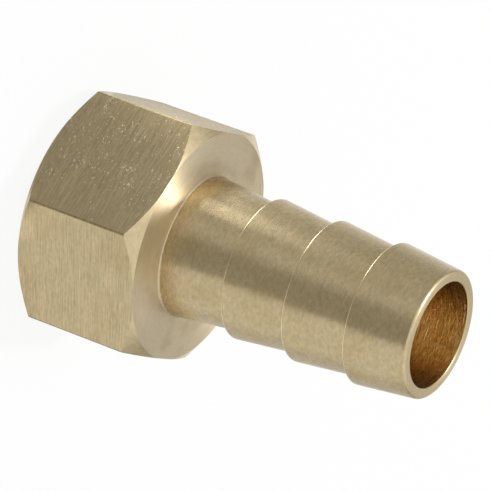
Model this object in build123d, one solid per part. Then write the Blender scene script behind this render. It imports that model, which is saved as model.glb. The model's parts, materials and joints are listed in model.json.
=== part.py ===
"""Brass hose tail: a hexagon with a female pipe thread, and a barbed tail that a hose is pushed on to.

The real one is turned from a length of hexagon bar in one piece. The model is made the same way: one
turned outline, spun about the axis, cut back to the bar's six flats. Millimetres, +Z from the socket
to the tail's tip, origin at the centre of the socket's end face, a flat of the hexagon square to X.
"""

import os
from math import cos, radians, tan

from build123d import *

# Hexagon bar, faced and chamfered at both ends
across_flats = 32.0
bar_corner_radius = 0.3
hex_length = 18.8
corner_chamfer_angle = 36.0  # from the end face
socket_face_inset = 0.2  # the socket's end face stops short of the flats
shoulder_face_overrun = 0.1  # the shoulder's face just runs out over the flats

# Socket for a parallel pipe thread, bored to the thread's minor diameter, with a flat seat
thread_major_d = 26.441
thread_pitch = 1.814
thread_form_depth = 0.640327  # of a 55 degree thread, for each unit of pitch
socket_depth = 15.0
countersink_clearance = 0.4  # outside the thread's major diameter
countersink_angle = 45.0  # from the axis

# Waterway, drilled right through the tail
waterway_d = 14.8
waterway_tip_break = 0.15
waterway_seat_break = 0.3

# Barbed tail: every cone has the same crest and taper, and the neck is the first of them
crest_d = 19.9
barb_taper = 6.3  # degrees, from the axis
barb_count = 3
neck_length = 9.8  # from the hexagon to the first crest
barb_pitch = 9.5
tip_length = 9.0  # from the last crest to the end
crest_break = 0.12
shoulder_root_radius = 0.3
tip_radius = 0.45

# Sizes that follow from those above
flat_r = across_flats / 2
corner_r = flat_r / cos(radians(30))
socket_face_r = flat_r - socket_face_inset
shoulder_face_r = flat_r + shoulder_face_overrun
thread_minor_r = thread_major_d / 2 - thread_form_depth * thread_pitch
countersink_r = thread_major_d / 2 + countersink_clearance
waterway_r = waterway_d / 2
crest_r = crest_d / 2
first_crest_z = hex_length + neck_length
last_crest_z = first_crest_z + (barb_count - 1) * barb_pitch
tip_z = last_crest_z + tip_length


def cone_end_r(length):
    """Radius of a cone that starts at the crest's, after it has tapered for a length."""
    return crest_r - length * tan(radians(barb_taper))


def chamfer_drop(face_r):
    """Height that the corner chamfer takes up, from its face's edge out to the bar's corners."""
    return (corner_r - face_r) * tan(radians(corner_chamfer_angle))


def hexagon_outline():
    """Corners (r, z, radius) of the turned blank, from the countersink's rim up to the shoulder."""
    return [
        (countersink_r, 0, 0),
        (socket_face_r, 0, 0),
        (corner_r, chamfer_drop(socket_face_r), 0),
        (corner_r, hex_length - chamfer_drop(shoulder_face_r), 0),
        (shoulder_face_r, hex_length, 0),
    ]


def tail_outline():
    """Corners of the neck and barbs. Each cone ends in a step out to the next crest's broken edge."""
    corners = [(crest_r, hex_length, shoulder_root_radius)]
    cone_length = neck_length
    for barb in range(barb_count):
        crest_z = first_crest_z + barb * barb_pitch
        corners.append((cone_end_r(cone_length), crest_z, 0))
        corners.append((crest_r - crest_break, crest_z, 0))
        corners.append((cone_end_r(crest_break), crest_z + crest_break, 0))
        cone_length = barb_pitch
    corners.append((cone_end_r(tip_length), tip_z, tip_radius))
    return corners


def inside_outline():
    """Corners of the waterway, the seat and the socket, from the tip back down to the mouth."""
    countersink_depth = (countersink_r - thread_minor_r) / tan(radians(countersink_angle))
    return [
        (waterway_r + waterway_tip_break, tip_z, 0),
        (waterway_r, tip_z - waterway_tip_break, 0),
        (waterway_r, socket_depth + waterway_seat_break, 0),
        (waterway_r + waterway_seat_break, socket_depth, 0),
        (thread_minor_r, socket_depth, 0),
        (thread_minor_r, countersink_depth, 0),
    ]


def turned_blank():
    """The whole turned form, as if the bar were round."""
    corners = hexagon_outline() + tail_outline() + inside_outline()
    points = [(r, z) for r, z, radius in corners]
    radii = [radius for r, z, radius in corners]
    section = make_face(FilletPolyline(*points, radius=radii, close=True))
    return revolve(Plane.XZ * section, Axis.Z)


def hexagon_bar():
    """The bar's six flats and its slightly rounded corners, over the part's whole length."""
    section = RegularPolygon(flat_r, side_count=6, major_radius=False, rotation=30)
    section = fillet(section.vertices(), bar_corner_radius)
    return extrude(section, tip_z)


hose_tail = turned_blank() & hexagon_bar()
hose_tail.label = "hose_tail"

os.makedirs("parts", exist_ok=True)
export_step(hose_tail, "parts/hose_tail.step")
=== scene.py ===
# %% [markdown]
# # A brass hose tail
# A hose tail joins a hose to a pipe. The real one starts as hexagon bar. A lathe turns the barbed
# tail on one end, bores the waterway right through and cuts a pipe thread in the other end. This
# lesson goes nearly the same way: draw half of the lengthwise section, spin it, mill the six
# flats, tap the socket, and then give each surface the finish that its tool leaves.
#
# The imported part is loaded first. It says where everything is, so nothing has to be fitted.

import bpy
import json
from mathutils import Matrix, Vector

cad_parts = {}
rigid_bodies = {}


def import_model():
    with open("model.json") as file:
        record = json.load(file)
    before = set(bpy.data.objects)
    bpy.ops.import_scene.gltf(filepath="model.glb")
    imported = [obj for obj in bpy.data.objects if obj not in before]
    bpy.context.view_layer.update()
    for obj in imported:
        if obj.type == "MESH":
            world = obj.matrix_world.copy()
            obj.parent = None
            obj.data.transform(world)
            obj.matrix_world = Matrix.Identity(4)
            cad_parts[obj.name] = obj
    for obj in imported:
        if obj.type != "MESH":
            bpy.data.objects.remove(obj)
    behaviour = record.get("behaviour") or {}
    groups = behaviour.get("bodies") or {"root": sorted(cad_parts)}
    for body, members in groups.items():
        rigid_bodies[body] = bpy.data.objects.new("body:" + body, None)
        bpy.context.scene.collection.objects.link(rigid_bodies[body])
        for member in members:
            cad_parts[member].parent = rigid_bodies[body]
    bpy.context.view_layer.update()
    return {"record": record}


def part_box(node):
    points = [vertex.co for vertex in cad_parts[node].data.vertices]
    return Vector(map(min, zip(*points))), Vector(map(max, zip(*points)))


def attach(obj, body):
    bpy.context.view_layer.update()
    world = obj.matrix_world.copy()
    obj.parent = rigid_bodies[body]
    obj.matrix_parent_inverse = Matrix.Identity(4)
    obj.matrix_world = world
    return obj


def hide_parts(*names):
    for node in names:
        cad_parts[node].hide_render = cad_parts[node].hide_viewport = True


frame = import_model()

# %% [markdown]
# ## Sizes
# Blender works in metres, so every length is a number of millimetres times MM. The reach of the
# part and the radii of its two holes could be written out again, but they are read from the
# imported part, so that the two can't drift apart. What the lathe hand sets on the cross slide,
# such as the taper and the pitch of the barbs, is written here by name.

# %% Sizes of the part
import json
import math

import bmesh
import bpy
from mathutils import Matrix, Quaternion, Vector

MM = 0.001
mounts = {mount["name"]: mount for mount in frame["record"]["mounts"]}
part_low, part_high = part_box("hose_tail")
tip_z = part_high.z
across_flats = part_high.x - part_low.x
flat_r = across_flats / 2
sharp_corner_r = across_flats / math.sqrt(3)
thread_minor_r = mounts["thread_socket"]["dims"]["r_mm"] * MM
waterway_r = mounts["waterway"]["dims"]["r_mm"] * MM

bar_corner_r = 0.3 * MM
hex_length = 18.8 * MM
corner_chamfer = math.radians(36.0)
socket_face_r = flat_r - 0.2 * MM
shoulder_face_r = flat_r + 0.1 * MM
socket_depth = 15.0 * MM

crest_r = 9.95 * MM
barb_taper = math.radians(6.3)
barb_pitch = 9.5 * MM
neck_length = 9.8 * MM
first_crest_z = hex_length + neck_length
barb_count = 3
crest_heights = [round((first_crest_z + k * barb_pitch) / MM, 1) for k in range(barb_count)]
print("barb crests at", crest_heights, "mm")

# %% [markdown]
# ## The section
# A turned part is the same all the way round, so half of its lengthwise section says it all.
# The corners are listed as on a drawing: radius, height, and the rounding that the tool leaves.
# The arcs could be worked out point by point. It is easier to make a flat face of the corners
# and to round each one with a vertex bevel. The bevel wants the distance from the corner to where
# the rounding starts, so the helper works that out from the radius and the angle of the corner.
# The face is then dropped, because only its rim is spun.

# %% Draw a section with rounded corners
ROUNDING_STEPS = 5


def rounded_section(corners):
    """A wire in the XZ plane from (radius, height, rounding) corners, open between last and first."""
    drawing = bmesh.new()
    points = [drawing.verts.new((r, 0, z)) for r, z, rounding in corners]
    drawing.faces.new(points)
    for point, corner in zip(points, corners):
        rounding = corner[2]
        if rounding:
            before, after = [edge.other_vert(point).co - point.co for edge in point.link_edges]
            start = rounding / math.tan(before.angle(after) / 2)
            bmesh.ops.bevel(
                drawing, geom=[point], offset=start, segments=ROUNDING_STEPS, profile=0.5,
                affect="VERTICES", material=-1,
            )
    closing = [edge for edge in points[0].link_edges if points[-1] in edge.verts]
    bmesh.ops.delete(drawing, geom=list(drawing.faces), context="FACES_ONLY")
    bmesh.ops.delete(drawing, geom=closing, context="EDGES")
    return drawing


print("a rounded corner is drawn in", ROUNDING_STEPS, "steps")

# %% [markdown]
# ## The turned outline
# The tail is three barbs on one taper, and the neck behind them follows the same taper, because
# one tool cuts them all. A hose slides up each gentle cone and grips behind its sharp crest.
# The hexagon is chamfered at both ends by the same tool, set at 36 degrees from the end face.
# Its outside is drawn a little larger than the corners of the bar, because the flats are milled
# later. The line starts inside the socket and ends at the countersink of the thread, and the gap
# between these two is left for the thread itself.

# %% The outline of the turned part
stock_r = sharp_corner_r + 0.15 * MM
countersink_r = 13.62 * MM
countersink_end = 0.3 * MM
tapped_end = socket_depth - 0.8 * MM

root_rounding = 0.3 * MM
step_rounding = 0.2 * MM
crest_rounding = 0.28 * MM
tip_rounding = 0.45 * MM
bore_rounding = 0.15 * MM
seat_rounding = 0.3 * MM
face_rounding = 0.12 * MM
mouth_rounding = 0.08 * MM


def cone_end_r(length):
    """Radius of the taper at this distance past a crest."""
    return crest_r - length * math.tan(barb_taper)


def chamfer_drop(face_r):
    """How far the chamfer falls below its end face by the time it reaches the stock."""
    return (stock_r - face_r) * math.tan(corner_chamfer)


def tail_corners():
    """From the foot of the neck to the last crest."""
    corners = [(crest_r, hex_length, root_rounding)]
    crest_z = first_crest_z
    length = neck_length
    for barb in range(barb_count):
        corners.append((cone_end_r(length), crest_z, step_rounding))
        corners.append((crest_r, crest_z, crest_rounding))
        crest_z += barb_pitch
        length = barb_pitch
    return corners


last_cone_length = tip_z - first_crest_z - (barb_count - 1) * barb_pitch
outline = [
    (thread_minor_r, tapped_end, 0),
    (thread_minor_r, socket_depth, seat_rounding),
    (waterway_r, socket_depth, seat_rounding),
    (waterway_r, tip_z, bore_rounding),
    (cone_end_r(last_cone_length), tip_z, tip_rounding),
    *reversed(tail_corners()),
    (shoulder_face_r, hex_length, face_rounding),
    (stock_r, hex_length - chamfer_drop(shoulder_face_r), 0),
    (stock_r, chamfer_drop(socket_face_r), 0),
    (socket_face_r, 0, face_rounding),
    (countersink_r, 0, mouth_rounding),
    (countersink_r - countersink_end, countersink_end, 0),
]
print("outline corners:", len(outline))

# %% [markdown]
# ## Turning
# Spinning the section once round the axis is the lathe's job. A Screw modifier would do the same,
# but the next cuts need the mesh itself, so the spin is made in the mesh. The section is first
# turned by half a step, so that a corner of the hexagon falls in the middle of a strip and not on
# a seam, and the flats then meet in one clean edge.

# %% Spin the section
STRIPS = 192


def turned_blank():
    """The part as it leaves the lathe, still open where the thread goes."""
    blank = rounded_section(outline)
    half_step = Matrix.Rotation(math.pi / STRIPS, 3, "Z")
    bmesh.ops.rotate(blank, verts=blank.verts, cent=(0, 0, 0), matrix=half_step)
    bmesh.ops.spin(
        blank, geom=[*blank.verts, *blank.edges], cent=(0, 0, 0), axis=(0, 0, 1),
        angle=2 * math.pi, steps=STRIPS, use_merge=True,
    )
    return blank


body = turned_blank()
print("turned blank:", len(body.faces), "faces")

# %% [markdown]
# ## The six flats
# On the real part the flats are there before the turning. Here they are cut after it, which gives
# the same shape. They are planes at half of the distance across them. A boolean with a hexagonal
# tube would cut them too, but it can leave slivers. Instead, bisect_plane cuts away what lies
# outside each plane, and the cut edges are filled to make the flat. Where a flat meets the
# chamfer cone, the edge is the curved one that every chamfered nut has, and it comes by itself.

# %% Mill the flats
FLAT_COUNT = 6
ON_FLAT = 1e-7


def mill_flats(blank):
    """Cuts six flats and closes them."""
    made = []
    for side in range(FLAT_COUNT):
        angle = side * 2 * math.pi / FLAT_COUNT
        outward = Vector((math.cos(angle), math.sin(angle), 0))
        cut = bmesh.ops.bisect_plane(
            blank, geom=[*blank.verts, *blank.edges, *blank.faces], dist=ON_FLAT,
            plane_co=outward * flat_r, plane_no=outward, clear_outer=True,
        )
        rim = [item for item in cut["geom_cut"] if isinstance(item, bmesh.types.BMEdge)]
        made += bmesh.ops.contextual_create(blank, geom=rim)["faces"]
    return made


flats = mill_flats(body)
print("flats:", len(flats))

# %% [markdown]
# ## The long corners
# Hexagon bar is pulled through a die, and the die leaves its six long corners slightly round. An
# extruded hexagon could have arcs for its corners, but these corners come from cuts, so an edge
# bevel rounds them. The edges are found by their place, at the full radius of the hexagon, and
# by their length, and half of the corner's angle turns the radius into the bevel's distance.

# %% Round the long corners
CORNER_STEPS = 4
AT_CORNER = 1e-6
least_length = 5 * MM
half_corner = math.radians(60)


def round_bar_corners(blank):
    """Rounds the six long edges where two flats meet, and says how many there were."""
    long_edges = [
        edge for edge in blank.edges
        if edge.calc_length() > least_length
        and all(abs(v.co.xy.length - sharp_corner_r) < AT_CORNER for v in edge.verts)
    ]
    bmesh.ops.bevel(
        blank, geom=long_edges, offset=bar_corner_r / math.tan(half_corner), segments=CORNER_STEPS,
        profile=0.5, affect="EDGES", material=-1, clamp_overlap=False,
    )
    return len(long_edges)


rounded = round_bar_corners(body)
print("long corners:", rounded)

# %% [markdown]
# ## The thread
# The socket takes a parallel pipe thread: a 55 degree form with a pitch of 1.814 mm. It could be
# a bump in the material, but then the mouth would be a plain hole from close by. A screw thread
# is a spin that also rises, one pitch for each turn, so spin gets a small upward step. Each turn
# ends where the next begins, and the doubles are merged into one wall.

# %% Spin the thread
PIPE_FORM_DEPTH = 0.640327
THREAD_STRIPS = 144
thread_pitch = 1.814 * MM
thread_depth = PIPE_FORM_DEPTH * thread_pitch
merge_gap = 0.002 * MM


def thread_profile():
    """One pitch of the thread in (radius, height), with small flats at the crest and the root."""
    crest_flat = thread_pitch / 12
    eased = 0.05 * MM
    root_r = thread_minor_r + thread_depth
    return [
        (thread_minor_r + eased, -crest_flat),
        (thread_minor_r, 0),
        (thread_minor_r + eased, crest_flat),
        (root_r - eased, thread_pitch / 2 - crest_flat),
        (root_r, thread_pitch / 2),
        (root_r - eased, thread_pitch / 2 + crest_flat),
        (thread_minor_r + eased, thread_pitch - crest_flat),
    ]


def thread_wall():
    """The tapped wall of the socket, as one sheet that is open at both ends."""
    sheet = bmesh.new()
    points = [sheet.verts.new((r, 0, z - thread_pitch)) for r, z in thread_profile()]
    for lower, upper in zip(points, points[1:]):
        sheet.edges.new((lower, upper))
    # two turns more than the socket holds, so that there is thread to trim at both ends
    turns = math.ceil(socket_depth / thread_pitch) + 2
    bmesh.ops.spin(
        sheet, geom=[*sheet.verts, *sheet.edges], cent=(0, 0, 0), axis=(0, 0, 1),
        dvec=(0, 0, thread_pitch / THREAD_STRIPS), angle=2 * math.pi * turns,
        steps=THREAD_STRIPS * turns, use_merge=False,
    )
    bmesh.ops.remove_doubles(sheet, verts=sheet.verts, dist=merge_gap)
    return sheet


wall = thread_wall()
print("thread as spun:", len(wall.faces), "faces")

# %% [markdown]
# ## Where the thread begins and ends
# A real tap can't reach the floor of the socket, so the last turns fade into the plain hole, and
# the mouth is countersunk so that the pipe finds its way in. Booleans could cut both, but they
# are slow on a fine thread. One simple rule for each point does it: the wall is never inside the
# countersink cone, and never deeper than the run-out allows. Two planes then trim the sheet to
# the gap that the turned part has left for it.

# %% Countersink, run-out and trim
ON_JOINT = 1e-8
runout_start = 11.0 * MM
runout_end = 13.6 * MM
mouth_joint = 0.36 * MM
top_joint = tapped_end - 0.1 * MM


def countersink_and_run_out(sheet):
    """Opens the mouth of the thread and lets its last turns fade into the tapping hole."""
    for point in sheet.verts:
        radius = point.co.xy.length
        faded = (point.co.z - runout_start) / (runout_end - runout_start)
        left = 1 - min(max(faded, 0), 1)
        wanted = thread_minor_r + (radius - thread_minor_r) * left
        wanted = max(wanted, countersink_r - point.co.z)
        point.co.xy *= wanted / radius


def trim(sheet):
    """Leaves the stretch between the two joints with the turned part."""
    for height, outward in ((mouth_joint, -1), (top_joint, 1)):
        bmesh.ops.bisect_plane(
            sheet, geom=[*sheet.verts, *sheet.edges, *sheet.faces], dist=ON_JOINT,
            plane_co=(0, 0, height), plane_no=(0, 0, outward), clear_outer=True,
        )


countersink_and_run_out(wall)
trim(wall)
print("thread wall:", len(wall.faces), "faces")

# %% [markdown]
# ## One closed body
# The thread wall is put into the gap, and its two rims are bridged to the rims of the turned
# part. Two shells that only lie against each other would look the same, but a body that is ready
# for any use is closed: every edge has exactly two faces, and the faces point outwards. So the
# open edges are counted, and the volume is printed, which is positive when the faces point out.

# %% Join the thread to the body
rim_reach = 0.2 * MM


def join_thread(blank, sheet):
    """Adds the sheet to the blank and bridges both pairs of rims."""
    carried = bpy.data.meshes.new("thread_wall")
    sheet.to_mesh(carried)
    blank.from_mesh(carried)
    bpy.data.meshes.remove(carried)
    for height in (mouth_joint, top_joint):
        rims = [
            edge for edge in blank.edges
            if edge.is_boundary and abs(edge.verts[0].co.z - height) < rim_reach
        ]
        bmesh.ops.bridge_loops(blank, edges=rims)
    bmesh.ops.recalc_face_normals(blank, faces=blank.faces)


join_thread(body, wall)
open_edges = sum(len(edge.link_faces) != 2 for edge in body.edges)
print("open edges:", open_edges, " volume:", round(body.calc_volume(signed=True) / MM**3), "mm3")
print("faces:", len(body.faces), " triangles:", sum(len(face.verts) - 2 for face in body.faces))

# %% [markdown]
# ## Shader sums
# A finish is worked out by nodes, and sums with nodes are hard to read. This small class wraps
# the output of a node, so that a sum such as 1 - mask is written as it is and adds its own Math
# nodes. Any other node comes from its node method: the settings go in first, because they can
# change which sockets there are, and then the values or links of the sockets.

# %% A class for shader sums
class Signal:
    """One output of a shader node."""

    def __init__(self, tree, socket):
        self.tree = tree
        self.socket = socket

    @classmethod
    def node(cls, tree, kind, settings=None, inputs=None, output=0):
        """Adds a node and gives one of its outputs."""
        made = tree.nodes.new("ShaderNode" + kind)
        for name, value in (settings or {}).items():
            setattr(made, name, value)
        for name, value in (inputs or {}).items():
            if isinstance(value, Signal):
                tree.links.new(value.socket, made.inputs[name])
            else:
                made.inputs[name].default_value = value
        return cls(tree, made.outputs[output])

    def beside(self, name):
        """Another output of the same node."""
        return Signal(self.tree, self.socket.node.outputs[name])

    def math(self, operation, first, second):
        return Signal.node(self.tree, "Math", {"operation": operation}, {0: first, 1: second})

    def __add__(self, other):
        return self.math("ADD", self, other)

    __radd__ = __add__

    def __sub__(self, other):
        return self.math("SUBTRACT", self, other)

    def __rsub__(self, other):
        return self.math("SUBTRACT", other, self)

    def __mul__(self, other):
        return self.math("MULTIPLY", self, other)

    __rmul__ = __mul__

    def over(self, low, high):
        """0 at low, 1 at high and a smooth rise between."""
        return Signal.node(
            self.tree, "MapRange", {"interpolation_type": "SMOOTHSTEP"},
            {"Value": self, "From Min": low, "From Max": high},
        )


print("sums ready: +, - and *, with a number on either side")

# %% [markdown]
# ## Small helpers
# Every material starts from an empty node tree, ends in an output node, and blends colours with
# a Mix node, because a Math node would turn a colour grey. A Mix node keeps a set of sockets for
# each kind of value. Those of a colour are numbers 6 and 7, and the colour comes out of number 2.

# %% Helpers for materials and objects
def new_material(name):
    """An empty material and its node tree."""
    material = bpy.data.materials.new(name)
    material.use_nodes = True
    material.node_tree.nodes.clear()
    return material


def show(tree, surface):
    """Links a shader to the surface of the material."""
    output = tree.nodes.new("ShaderNodeOutputMaterial")
    tree.links.new(surface.socket, output.inputs["Surface"])


def blend_colour(tree, factor, first, second):
    """The first colour where the factor is 0, and the second where it is 1."""
    return Signal.node(tree, "Mix", {"data_type": "RGBA"}, {0: factor, 6: first, 7: second}, output=2)


def add_object(name, data):
    """A new object for this mesh, lamp or camera, put in the scene."""
    made = bpy.data.objects.new(name, data)
    bpy.context.scene.collection.objects.link(made)
    return made


# %% [markdown]
# ## Tool marks
# A cutting tool leaves fine marks in one direction: rings on what was turned, strokes across
# what was milled. An image of scratches would need to be unwrapped on to the part. A noise needs
# nothing of the kind: it is squeezed across the marks and stretched along them. On an end face
# the rings run round the axis, so there the distance from the axis takes the place of height.

# %% Marks of any size
def place(tree):
    """Where a point of the part is, in millimetres."""
    spot = Signal.node(tree, "TexCoord", output="Object")
    return Signal.node(tree, "VectorMath", {"operation": "SCALE"}, {0: spot, "Scale": 1 / MM})


def ring_place(tree):
    """The same, with the distance from the axis in place of the height."""
    spot = place(tree)
    flat = Signal.node(tree, "VectorMath", {"operation": "MULTIPLY"}, {0: spot, 1: (1, 1, 0)})
    radius = Signal.node(tree, "VectorMath", {"operation": "LENGTH"}, {0: flat}, output="Value")
    x = Signal.node(tree, "SeparateXYZ", inputs={0: spot})
    return Signal.node(tree, "CombineXYZ", inputs={0: x, 1: x.beside("Y"), 2: radius})


def soft_marks(tree, spot, sizes, detail, rough=0.5):
    """Random marks of these sizes in millimetres along X, Y and Z, 0.5 on average."""
    counted = Signal.node(tree, "VectorMath", {"operation": "DIVIDE"}, {0: spot, 1: sizes})
    return Signal.node(
        tree, "TexNoise", {"noise_dimensions": "3D"},
        {"Vector": counted, "Scale": 1.0, "Detail": detail, "Roughness": rough},
    )


print("helpers ready: place, ring_place and soft_marks")

# %% [markdown]
# ## Knocks
# Loose parts knock against each other in the box, mostly on their flats. A knock is a speck of
# bare bright metal, a fraction of a millimetre across. The specks come in patches, and this part
# was knocked mostly on one side. They could be modelled as pits, but they are too fine for that.
# Here a noise is cut off so high that only its peaks are left. The sizes and places in this cell
# are in millimetres.

# %% Small bright knocks
SPECK_SIZE = (0.40, 0.40, 0.25)
SPECK_PATCH_SIZE = (3, 3, 3)
SPECK_EDGE = 0.04
SPECK_HEIGHT = 8.0
PATCH_SHARE = 0.25
SIDE_SHARE = 0.12
CLEAN_SIDE_X = 2
KNOCKED_SIDE_X = -6


def knocks(tree, spot, rarity):
    """1 in the specks and 0 between them. Few are left when the rarity is near 1."""
    peaks = soft_marks(tree, spot, SPECK_SIZE, detail=1.0)
    patches = soft_marks(tree, spot, SPECK_PATCH_SIZE, detail=1.0)
    side = Signal.node(tree, "SeparateXYZ", inputs={0: spot}).over(CLEAN_SIDE_X, KNOCKED_SIDE_X)
    return (peaks + patches * PATCH_SHARE + side * SIDE_SHARE).over(rarity, rarity + SPECK_EDGE)


print("a knock is about", SPECK_SIZE[0], "mm wide")

# %% [markdown]
# ## Brass
# All of the finishes are one alloy, and what differs is the tool. So one function makes them all.
# They could be nine separate node trees, but then a change to one would have to be made in all.
# The strokes and a finer grain lift the surface by thousandths of a millimetre, or more in the
# bore, and change its tone. Cloudy stains turn the brass a little darker and yellower, where it
# has begun to tarnish, and a fine mottle keeps it from looking new. Turned marks also stretch the
# gloss across the marks, which is what Anisotropic does, and a quarter turn lays it across the
# rings.

# %% One function for every brass finish
TARNISH = (0.54, 0.42, 0.22, 1)
# bare brass for the knocks, and for the crests, where its pale colour also paints a highlight
BARE_BRASS_AND_HIGHLIGHT = (1.0, 0.92, 0.68, 1)
STAIN_SIZE = (5, 5, 5)
STAIN_RANGE = (0.45, 0.75)
STAIN_STRENGTH = 0.5
MOTTLE_SIZE = (0.7, 0.7, 0.45)
GRAIN_SHARE = 0.6
STROKE_DULLNESS = 0.2
STAIN_DULLNESS = 0.1
ACROSS_RINGS = 0.25


def brass_finish(
    name, colour, roughness, anisotropic, marks, mark_height, contrast, mottling, rarity=0.0, faced=False,
):
    """Brass with tool marks of these sizes in millimetres: along X, along Y, and across the marks."""
    material = new_material(name)
    tree = material.node_tree
    spot = ring_place(tree) if faced else place(tree)
    strokes = soft_marks(tree, spot, marks, detail=3.0, rough=0.6) - 0.5
    # the grain is a third as long as the strokes and two thirds as wide
    finer = (marks[0] / 3, marks[1] / 3, marks[2] / 1.5)
    grain = soft_marks(tree, spot, finer, detail=1.0) - 0.5
    stain = soft_marks(tree, spot, STAIN_SIZE, detail=2.0).over(*STAIN_RANGE) * STAIN_STRENGTH
    mottle = soft_marks(tree, spot, MOTTLE_SIZE, detail=3.0) - 0.5
    relief = strokes + grain * GRAIN_SHARE
    tone = relief * contrast + mottle * mottling + 1
    base = blend_colour(tree, stain, colour, TARNISH)
    base = Signal.node(tree, "VectorMath", {"operation": "SCALE"}, {0: base, "Scale": tone})
    if rarity:
        specks = knocks(tree, spot, rarity)
        base = blend_colour(tree, specks, base, BARE_BRASS_AND_HIGHLIGHT)
        relief = relief + specks * SPECK_HEIGHT
    bump = Signal.node(
        tree, "Bump", inputs={"Strength": 1.0, "Distance": mark_height, "Height": relief},
    )
    surface = Signal.node(
        tree, "BsdfPrincipled",
        inputs={
            "Base Color": base,
            "Metallic": 1.0,
            "Roughness": roughness + strokes * STROKE_DULLNESS + stain * STAIN_DULLNESS,
            "Anisotropic": anisotropic,
            "Anisotropic Rotation": ACROSS_RINGS,
            "Normal": bump,
        },
    )
    show(tree, surface)
    return material


print("a stain is about", STAIN_SIZE[0], "mm wide, and a mottle", MOTTLE_SIZE[0], "mm")

# %% [markdown]
# ## A finish for each tool
# The turned tail has the finest rings. The crests are rubbed bare, because everything touches them
# first, and their pale colour also paints a highlight along them. The chamfers and the faced
# shoulder are paler, which paints a sheen on them. The rim of the tip is faced too, with a lighter
# cut. The milled flats have coarse strokes and knocks, and the bar's long corners are darker and
# duller, which paints a line of shade along them. The drill leaves deep chatter in the bore, whose
# paler brass paints in some of the light that crosses it, and the tap leaves the thread plain.

# %% The finishes
BRASS = (0.61, 0.495, 0.295, 1)
# paler than the tail: a painted highlight on the chamfers
CHAMFER_PAINTED_HIGHLIGHT = (0.66, 0.54, 0.335, 1)
# paler and greyer than the tail: a painted sheen on the shoulder's face
FACED_PAINTED_SHEEN = (0.68, 0.57, 0.39, 1)
# much paler than the tail, which paints in some of the light that crosses the bore
BORED_PAINTED_LIGHT = (0.84, 0.68, 0.41, 1)
# darker than the flats: paints a line of shade along the long corners of the bar
CORNER_PAINTED_SHADE = (0.44, 0.34, 0.18, 1)

finishes = {
    "turned": brass_finish(
        "turned_brass", BRASS, roughness=0.28, anisotropic=0.6,
        marks=(5, 5, 0.08), mark_height=0.002 * MM, contrast=0.22, mottling=0.6,
    ),
    # crests rubbed bare, whose pale colour also paints a bright highlight line along each crest
    "crest": brass_finish(
        "crest_brass_and_highlight", BARE_BRASS_AND_HIGHLIGHT, roughness=0.28, anisotropic=0.0,
        marks=(5, 5, 0.08), mark_height=0.0, contrast=0.1, mottling=0.2,
    ),
    # the chamfers' paler colour is a painted highlight
    "chamfer": brass_finish(
        "chamfer_painted_highlight", CHAMFER_PAINTED_HIGHLIGHT, roughness=0.30, anisotropic=0.6,
        marks=(5, 5, 0.08), mark_height=0.002 * MM, contrast=0.22, mottling=0.4,
    ),
    # the shoulder's paler, greyer colour is a painted sheen
    "shoulder": brass_finish(
        "shoulder_painted_sheen", FACED_PAINTED_SHEEN, roughness=0.38, anisotropic=0.9,
        marks=(6, 6, 0.12), mark_height=0.002 * MM, contrast=0.25, mottling=0.15, faced=True,
    ),
    "rim": brass_finish(
        "rim_brass", BRASS, roughness=0.30, anisotropic=0.55,
        marks=(6, 6, 0.12), mark_height=0.001 * MM, contrast=0.2, mottling=0.3, faced=True,
    ),
    "milled": brass_finish(
        "milled_brass", BRASS, roughness=0.32, anisotropic=0.0,
        marks=(4.5, 4.5, 0.15), mark_height=0.010 * MM, contrast=0.8, mottling=0.35, rarity=0.905,
    ),
    # the long corners' dark colour is painted shade along them
    "corner": brass_finish(
        "corner_painted_shade", CORNER_PAINTED_SHADE, roughness=0.5, anisotropic=0.0,
        marks=(3, 3, 0.5), mark_height=0.002 * MM, contrast=0.4, mottling=0.6,
    ),
    # the bore's paler colour paints in some of the light that crosses it
    "bored": brass_finish(
        "bored_painted_light", BORED_PAINTED_LIGHT, roughness=0.18, anisotropic=0.0,
        marks=(4, 4, 0.30), mark_height=0.08 * MM, contrast=0.3, mottling=0.5,
    ),
    "tapped": brass_finish(
        "tapped_brass", BRASS, roughness=0.32, anisotropic=0.0,
        marks=(2, 2, 0.2), mark_height=0.004 * MM, contrast=0.3, mottling=0.4,
    ),
}
finish_order = list(finishes)
print("finishes:", ", ".join(finish_order))

# %% [markdown]
# ## Which tool cut which face
# Nine objects, one for each finish, would leave seams. The body stays in one piece, and its faces
# are sorted instead, by where they are and how they lie, because each place was cut by one tool.
# The distances need not be exact, because they only have to tell one place from the next.

# %% Sort the faces by tool
LIES_FLAT = 0.9
LIES_ON_CHAMFER = 0.75
STANDS_UPRIGHT = 0.1
near = 0.2 * MM
socket_top = socket_depth + 0.01 * MM
socket_rim_r = countersink_r + 0.01 * MM
on_crest_z = first_crest_z - 0.1 * MM
on_flat_r = flat_r - 0.5 * MM
past_flat_r = flat_r + 1 * MM


def tool_of(face):
    """The name of the finish for this face."""
    centre = face.calc_center_median()
    radius = centre.xy.length
    slope = face.normal.z
    if centre.z < socket_top and waterway_r < radius < socket_rim_r:
        return "tapped"
    if centre.z < tip_z - near and radius < waterway_r + near:
        return "bored"
    if centre.z > on_crest_z and radius > crest_r - near and slope < -STANDS_UPRIGHT:
        return "crest"
    if abs(slope) > LIES_FLAT:
        return "rim" if centre.z > tip_z - near else "shoulder"
    if abs(slope) > LIES_ON_CHAMFER and centre.z < hex_length:
        return "chamfer"
    if abs(slope) < STANDS_UPRIGHT and radius > on_flat_r:
        return "corner" if radius > past_flat_r else "milled"
    return "turned"


body.normal_update()
tools = [tool_of(face) for face in body.faces]
print("faces by tool:", {name: tools.count(name) for name in finish_order})

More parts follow.
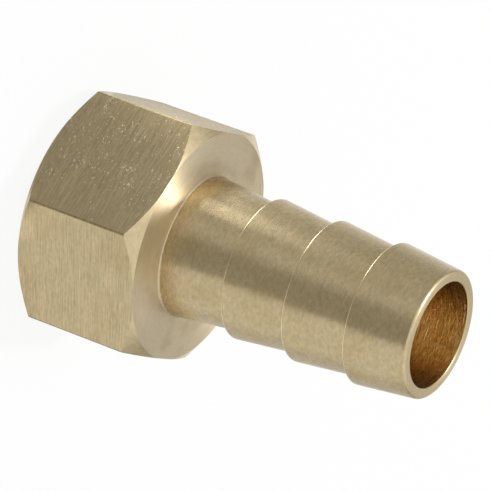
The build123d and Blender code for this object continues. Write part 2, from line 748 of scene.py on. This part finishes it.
# %% [markdown]
# ## The body
# The mesh becomes an object here. Every face is shaded smooth, and the edges where two tools met
# are marked sharp, by their angle. An Edge Split modifier would keep them crisp too, but it would
# open the body. The flats are very large beside the thin faces round them, so a Weighted Normal
# modifier lets the large faces decide, which keeps them flat to the eye. The last lines put the
# piece on the part's one body and hide the imported node that it stands for.

# %% Make the body
SHARP_ANGLE = math.radians(32)


def finished_body(drawing):
    """The object: smooth shading, sharp edges where tools met, and a finish on each face."""
    for face, tool in zip(drawing.faces, tools):
        face.smooth = True
        face.material_index = finish_order.index(tool)
    for edge in drawing.edges:
        edge.smooth = edge.calc_face_angle() < SHARP_ANGLE
    mesh = bpy.data.meshes.new("brass_body")
    drawing.to_mesh(mesh)
    for name in finish_order:
        mesh.materials.append(finishes[name])
    made = add_object("hose_tail_body", mesh)
    weighted = made.modifiers.new("keep_flats_flat", "WEIGHTED_NORMAL")
    weighted.keep_sharp = True
    return made


brass_body = finished_body(body)
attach(brass_body, "root")
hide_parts("hose_tail")
print("body:", len(brass_body.data.polygons), "faces,", len(brass_body.data.materials), "finishes")

# %% [markdown]
# ## Floor
# The part stands on a pale table. More light would make the table white, but it would bleach the
# brass too. So the table's own shader adds white only for what the camera sees, directly, in
# metal or through glass, and a tenth of the plain table is left to keep the part's shadow.

# %% The floor
FLOOR_HALF = 1.6
WHITE_SHARE = 0.9
PALE = (0.8, 0.8, 0.8, 1)
WHITE = (1, 1, 1, 1)
floor_drop = 0.02 * MM


def seen(tree):
    """1 for rays from the camera, from metal and through glass, and 0 for plain light."""
    camera = Signal.node(tree, "LightPath", output="Is Camera Ray")
    return camera + camera.beside("Is Glossy Ray") + camera.beside("Is Transmission Ray")


def make_floor():
    """A pale square under the part, white to the view."""
    drawing = bmesh.new()
    bmesh.ops.create_grid(drawing, x_segments=1, y_segments=1, size=FLOOR_HALF)
    bmesh.ops.translate(drawing, verts=drawing.verts, vec=(0, 0, -floor_drop))
    mesh = bpy.data.meshes.new("floor")
    drawing.to_mesh(mesh)
    material = new_material("pale_floor")
    tree = material.node_tree
    plain = Signal.node(tree, "BsdfDiffuse", inputs={"Color": PALE})
    white = Signal.node(tree, "Emission", inputs={"Color": WHITE, "Strength": 1.0})
    show(tree, Signal.node(tree, "MixShader", inputs={0: seen(tree) * WHITE_SHARE, 1: plain, 2: white}))
    mesh.materials.append(material)
    made = add_object("floor", mesh)
    return made


floor = make_floor()
print("floor:", round(floor.dimensions.x, 2), "m wide")

# %% [markdown]
# ## The room
# Metal shows its surroundings more than its own colour, so a turned part is lit by what stands
# round it. The room is even and a little under white as a light, and plain white to the view, as
# a white tent round a small part would be.

# %% The room
ROOM_LIGHT = 0.8


def light_room():
    """An even white world, dimmer as a light than to the view."""
    world = bpy.data.worlds.new("studio")
    bpy.context.scene.world = world
    world.use_nodes = True
    tree = world.node_tree
    tree.nodes.clear()
    room = Signal.node(tree, "Background", inputs={"Color": WHITE, "Strength": ROOM_LIGHT})
    white = Signal.node(tree, "Background", inputs={"Color": WHITE, "Strength": 1.0})
    mixed = Signal.node(tree, "MixShader", inputs={0: seen(tree), 1: room, 2: white})
    output = tree.nodes.new("ShaderNodeOutputWorld")
    tree.links.new(mixed.socket, output.inputs["Surface"])
    return world


world = light_room()
print("world:", world.name, "at strength", ROOM_LIGHT)

# %% [markdown]
# ## The lamp
# One small soft lamp stands high behind the part on the left. It flares on the turned shoulder,
# where the rings stretch it into a bright fan, and it draws the light edges. A sun lamp would do
# too, but the size of a square lamp can be set beside the part's own, in the same units.

# %% The key lamp
def direction(azimuth, elevation):
    """A unit vector. Azimuth 0 is +Y and 90 is +X, in degrees."""
    turn = math.radians(azimuth)
    rise = math.radians(elevation)
    return Vector((math.sin(turn) * math.cos(rise), math.cos(turn) * math.cos(rise), math.sin(rise)))


def soft_lamp(name, azimuth, elevation, distance, size, power):
    """A square lamp that looks at the middle of the part."""
    lamp = bpy.data.lights.new(name, "AREA")
    lamp.shape = "SQUARE"
    lamp.size = size
    lamp.energy = power
    made = add_object(name, lamp)
    aim = Vector((0, 0, tip_z / 2))
    made.location = aim + direction(azimuth, elevation) * distance
    made.rotation_mode = "QUATERNION"
    made.rotation_quaternion = (aim - made.location).to_track_quat("-Z", "Y")
    made.visible_camera = False
    return made


key_lamp = soft_lamp("key_lamp", azimuth=-32, elevation=65, distance=0.8, size=0.08, power=2.7)
print("key lamp at", [round(side, 2) for side in key_lamp.location], "m")

# %% [markdown]
# ## Strips round the part
# In a plain white tent polished brass looks flat, so a photographer stands dark flags and bright
# cards round it, and the metal mirrors them as streaks. Each one here is a strip of a ring round
# the foot of the part, spun from a short profile. Only the brass sees it: it is hidden from the
# camera and throws no shadow, so it changes the streaks and nothing else.

# %% A strip of a ring
FLAG_STRIPS = 48


def ring_strip(name, azimuth, half_width, profile):
    """The part of a ring within half_width degrees of the azimuth, spun from (radius, height)."""
    drawing = bmesh.new()
    points = [drawing.verts.new((0, r, z)) for r, z in profile]
    for lower, upper in zip(points, points[1:]):
        drawing.edges.new((lower, upper))
    first_side = Matrix.Rotation(math.radians(half_width), 3, "Z")
    bmesh.ops.rotate(drawing, verts=drawing.verts, cent=(0, 0, 0), matrix=first_side)
    bmesh.ops.spin(
        drawing, geom=[*drawing.verts, *drawing.edges], cent=(0, 0, 0), axis=(0, 0, 1),
        angle=-2 * math.radians(half_width), steps=FLAG_STRIPS,
    )
    mesh = bpy.data.meshes.new(name)
    drawing.to_mesh(mesh)
    made = add_object(name, mesh)
    made.rotation_euler.z = -math.radians(azimuth)
    made.visible_camera = False
    made.visible_diffuse = False
    made.visible_shadow = False
    made.visible_transmission = False
    return made


print("a strip has", FLAG_STRIPS, "steps from side to side")

# %% [markdown]
# ## Gauze
# A solid black flag would leave a hard black streak. These are of brown gauze: it lets part of
# the white through, keeps the brass warm where it darkens it, and thins out towards both sides,
# so that its edges fade.

# %% Flags of gauze
BROWN = (0.06, 0.045, 0, 1)


def gauze(name, half_width, density, fades):
    """Brown gauze that thins out over these angles, on its low and its high side."""
    material = new_material(name)
    tree = material.node_tree
    x = Signal.node(tree, "SeparateXYZ", inputs={0: Signal.node(tree, "TexCoord", output="Object")})
    angle = x.math("ARCTAN2", x, x.beside("Y"))
    cover = density
    for side, fade in zip((1, -1), fades):
        cover = (angle * side + math.radians(half_width)).over(0.0, math.radians(fade)) * cover
    clear = Signal.node(tree, "BsdfTransparent")
    brown = Signal.node(tree, "BsdfTransparent", inputs={"Color": BROWN})
    show(tree, Signal.node(tree, "MixShader", inputs={0: cover, 1: clear, 2: brown}))
    return material


def flag(name, first, last, density, fades, profile):
    """A strip of gauze between two azimuths, in degrees."""
    half_width = (last - first) / 2
    made = ring_strip(name, (first + last) / 2, half_width, profile)
    made.data.materials.append(gauze(name, half_width, density, fades))
    return made


print("the thinnest gauze is clear, the densest is", BROWN[:3])

# %% [markdown]
# ## Where the flags stand
# The hexagon is low, and its flats mirror only the table close by. The tail is tall, and it
# mirrors the table further out and what rises beyond it. So there are strips that lie on the
# table near the part, and wide bowls that start flat and rise further out. A screen stands far
# behind for the shoulder's face, which mirrors what is high up there, and a tiny one stands round
# the neck. They could be flat sheets on stands, but a strip of a ring stays equally far from the
# round part all along.

# %% Profiles of the flags
def in_mm(*points):
    """A profile from (radius, height) pairs in millimetres."""
    return [(r * MM, z * MM) for r, z in points]


NEAR_TABLE = in_mm((15.9, 0.1), (58, 0.1))
FAR_BOWL = in_mm((58, 0.1), (120, 0.1), (400, 300))
TABLE_BOWL = in_mm((15.9, 0.1), (120, 0.1), (400, 300))
FRONT_BOWL = in_mm((40, 0.2), (120, 0.2), (400, 300))
CORNER_STRIP = in_mm((18.6, 0.2), (40, 0.2))
FOOT_STRIP = in_mm((15.9, 0.3), (70, 0.3))
NECK_SCREEN = in_mm((11.4, 18.9), (11.4, 21.4))
BACK_SCREEN = in_mm((400, 90), (400, 330))
print("the bowls rise to", FAR_BOWL[-1][1], "m")

# %% [markdown]
# ## The flags
# The front flag draws the dark streak along the tail. The near flags and the foot flag tone down
# the flats and the long corners on the left of the hexagon, and the corner flag takes the glint
# off the long corner in front. The left flags shade one side of the tail and the right flags the
# other. The back flag dims the shoulder's face round the lamp's flare, and the neck flag dims
# what the neck and the shoulder mirror of each other.

# %% Set up the flags
flags = [
    flag("front_flag", 146, 208, density=0.65, fades=(7, 18), profile=FRONT_BOWL),
    flag("left_near_flag", -180, -98, density=0.42, fades=(5, 12), profile=NEAR_TABLE),
    flag("side_near_flag", -98, -8, density=0.28, fades=(4, 20), profile=NEAR_TABLE),
    flag("left_flag", -168, -8, density=0.38, fades=(12, 45), profile=FAR_BOWL),
    flag("far_left_flag", -150, -48, density=0.25, fades=(35, 20), profile=FAR_BOWL),
    flag("right_flag", 15, 157, density=0.14, fades=(20, 4), profile=TABLE_BOWL),
    flag("far_right_flag", 20, 92, density=0.27, fades=(15, 30), profile=TABLE_BOWL),
    flag("back_flag", -60, 65, density=0.34, fades=(20, 20), profile=BACK_SCREEN),
    flag("neck_flag", -130, -62, density=0.32, fades=(12, 20), profile=NECK_SCREEN),
    flag("corner_flag", 166, 188, density=0.6, fades=(4, 4), profile=CORNER_STRIP),
    flag("foot_flag", -176, -116, density=0.30, fades=(8, 10), profile=FOOT_STRIP),
]
print("flags:", len(flags))

# %% [markdown]
# ## Bright cards
# Three small white cards lie on the table. The crest card is so near the foot that the cones look
# over it, and only the rounded crests turn far enough down to catch it, as fine bright lines. The
# neck card lies further out and lights a patch of the neck. The socket card lies under the part
# and sends light up the bore, as a lit table does. Area lamps would do it too, but none of their
# shapes is a strip of a ring, which suits a round part best.

# %% Cards on the table
card_height = 1 * MM


def table_card(name, azimuth, half_width, inner_r, outer_r, strength):
    """A flat bright strip of a ring round the foot of the part."""
    made = ring_strip(name, azimuth, half_width, [(inner_r, card_height), (outer_r, card_height)])
    material = new_material(name)
    tree = material.node_tree
    show(tree, Signal.node(tree, "Emission", inputs={"Color": WHITE, "Strength": strength}))
    made.data.materials.append(material)
    return made


cards = [
    table_card("neck_card", -108, 12, inner_r=64 * MM, outer_r=80 * MM, strength=2.4),
    table_card("crest_card", -91, 22, inner_r=32 * MM, outer_r=50 * MM, strength=5.0),
    table_card("socket_card", 0, 180, inner_r=0.2 * MM, outer_r=12.8 * MM, strength=1.4),
]
print("cards:", len(cards))

# %% [markdown]
# ## Light in the bore
# The bore is a tunnel of bright metal, and light crosses it several times before it comes out.
# Left alone, Cycles drops light after four glossy bounces, and the depth of the bore would turn
# dark. A lamp inside would hide that, but no real bore has one. Eight bounces let the light out,
# deeper in colour each time, which is why a brass bore looks golden brown.

# %% More bounces
bpy.context.scene.cycles.glossy_bounces = 8
print("glossy bounces:", bpy.context.scene.cycles.glossy_bounces)

# %% [markdown]
# ## Camera
# A long lens from well back keeps the sides of the part nearly parallel, as in a catalogue. The
# part could be laid down for the view, but it is modelled as it rests, so the camera is rolled
# instead, and the tail lies across the frame.

# %% The camera
view_azimuth = math.radians(-6.078)
view_elevation = math.radians(26.648)
view_roll = math.radians(110.146)
view_distance = 616.91 * MM
view_aim = Vector((-2.278, 0.243, 25.302)) * MM

camera_data = bpy.data.cameras.new("camera")
camera_data.sensor_width = 36
camera_data.lens = 336.53
camera_data.clip_start = 0.01
camera_data.clip_end = 10
camera = add_object("camera", camera_data)
back = Vector((
    math.sin(view_azimuth) * math.cos(view_elevation),
    -math.cos(view_azimuth) * math.cos(view_elevation),
    math.sin(view_elevation),
))
camera.location = view_aim + back * view_distance
camera.rotation_mode = "QUATERNION"
camera.rotation_quaternion = (-back).to_track_quat("-Z", "Y") @ Quaternion((0, 0, 1), view_roll)
bpy.context.scene.camera = camera
bpy.context.scene.view_settings.view_transform = "Standard"
print("camera:", round(camera_data.lens, 1), "mm lens,", round(view_distance, 3), "m away")
